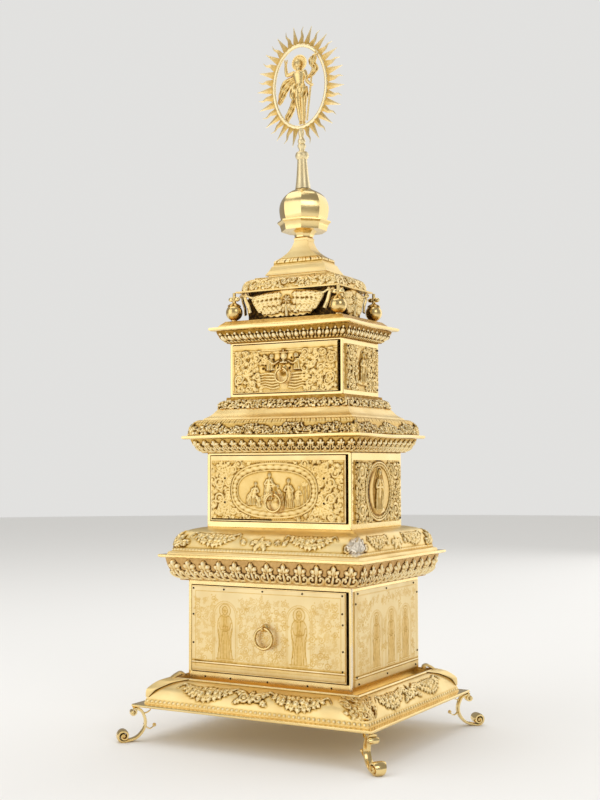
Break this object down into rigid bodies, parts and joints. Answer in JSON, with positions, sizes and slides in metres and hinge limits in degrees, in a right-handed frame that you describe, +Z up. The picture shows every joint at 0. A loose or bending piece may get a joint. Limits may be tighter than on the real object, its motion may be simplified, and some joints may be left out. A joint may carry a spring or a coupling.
{
  "type": "reliquary casket",
  "caption": "Tall stepped silver-gilt reliquary casket with stacked drawers on ring pulls, chased mouldings, swagged roof, onion dome and rayed glory, on scroll feet.",
  "frame": {"origin": "on the ground below the middle of the casket, level with the soles of its feet", "axes": "+Z up, front with the ring pulls facing -Y, +X to the right seen from the front"},
  "size_m": [0.317, 0.282, 0.79],
  "materials": {
    "burnished_gilt": "burnished gilding, bright and smooth",
    "chased_gilt": "chased gilding with brown patina in the hollows",
    "engraved_gilt": "matt gilding with engraved lines",
    "drawer_lining": "dull unpolished gilding inside the drawers"
  },
  "bodies": {
    "casket": {"foot_front_right": "burnished_gilt", "foot_back_right": "burnished_gilt", "foot_back_left": "burnished_gilt", "foot_front_left": "burnished_gilt", "base_plate": "burnished_gilt", "base_skirt": "chased_gilt", "base_leaf_front_right": "chased_gilt", "base_leaf_back_right": "chased_gilt", "base_leaf_back_left": "chased_gilt", "base_leaf_front_left": "chased_gilt", "lower_case": "burnished_gilt", "lower_side_plate_left": "engraved_gilt", "lower_side_plate_right": "engraved_gilt", "lower_back_plate": "engraved_gilt", "lower_cornice": "chased_gilt", "lower_flange": "burnished_gilt", "middle_case": "burnished_gilt", "middle_side_plaque_left": "chased_gilt", "middle_side_plaque_right": "chased_gilt", "middle_back_plate": "engraved_gilt", "middle_cornice": "chased_gilt", "middle_flange": "burnished_gilt", "upper_case": "burnished_gilt", "upper_side_plaque_left": "chased_gilt", "upper_side_plaque_right": "chased_gilt", "upper_back_plate": "engraved_gilt", "upper_cornice": "chased_gilt", "upper_flange": "burnished_gilt", "lower_cushion": "chased_gilt", "garland_band": "chased_gilt", "cove_moulding": "burnished_gilt", "leaf_band": "chased_gilt", "roof_plinth": "burnished_gilt", "ball_front_right": "burnished_gilt", "ball_back_right": "burnished_gilt", "ball_back_left": "burnished_gilt", "ball_front_left": "burnished_gilt", "swag_front": "chased_gilt", "swag_right": "chased_gilt", "swag_back": "chased_gilt", "swag_left": "chased_gilt", "roof": "chased_gilt", "roof_cap": "burnished_gilt", "dome_cup": "burnished_gilt", "dome": "burnished_gilt", "spire": "burnished_gilt", "glory": "burnished_gilt", "glory_figure": "chased_gilt"},
    "lower_drawer_body": {"lower_drawer": "drawer_lining", "lower_drawer_plate": "engraved_gilt", "lower_ring_eye": "burnished_gilt"},
    "lower_ring_body": {"lower_ring": "burnished_gilt"},
    "middle_drawer_body": {"middle_drawer": "drawer_lining", "middle_drawer_plaque": "chased_gilt", "middle_ring_eye": "burnished_gilt"},
    "middle_ring_body": {"middle_ring": "burnished_gilt"},
    "upper_drawer_body": {"upper_drawer": "drawer_lining", "upper_drawer_plaque": "chased_gilt", "upper_ring_eye": "burnished_gilt"},
    "upper_ring_body": {"upper_ring": "burnished_gilt"}
  },
  "joints": [
    {"name": "lower_drawer_slide", "type": "slide", "parent": "casket", "child": "lower_drawer_body", "axis": [0, -1, 0], "range_m": [0, 0.105]},
    {"name": "lower_ring_swing", "type": "hinge", "parent": "lower_drawer_body", "child": "lower_ring_body", "pos_m": [-0.00115, -0.0874, 0.124], "axis": [-1, 0, 0], "range_deg": [0, 170]},
    {"name": "middle_drawer_slide", "type": "slide", "parent": "casket", "child": "middle_drawer_body", "axis": [0, -1, 0], "range_m": [0, 0.075]},
    {"name": "middle_ring_swing", "type": "hinge", "parent": "middle_drawer_body", "child": "middle_ring_body", "pos_m": [-0.00115, -0.0669, 0.2633], "axis": [-1, 0, 0], "range_deg": [0, 170]},
    {"name": "upper_drawer_slide", "type": "slide", "parent": "casket", "child": "upper_drawer_body", "axis": [0, -1, 0], "range_m": [0, 0.05]},
    {"name": "upper_ring_swing", "type": "hinge", "parent": "upper_drawer_body", "child": "upper_ring_body", "pos_m": [-0.00115, -0.0489, 0.3991], "axis": [-1, 0, 0], "range_deg": [0, 170]}
  ]
}
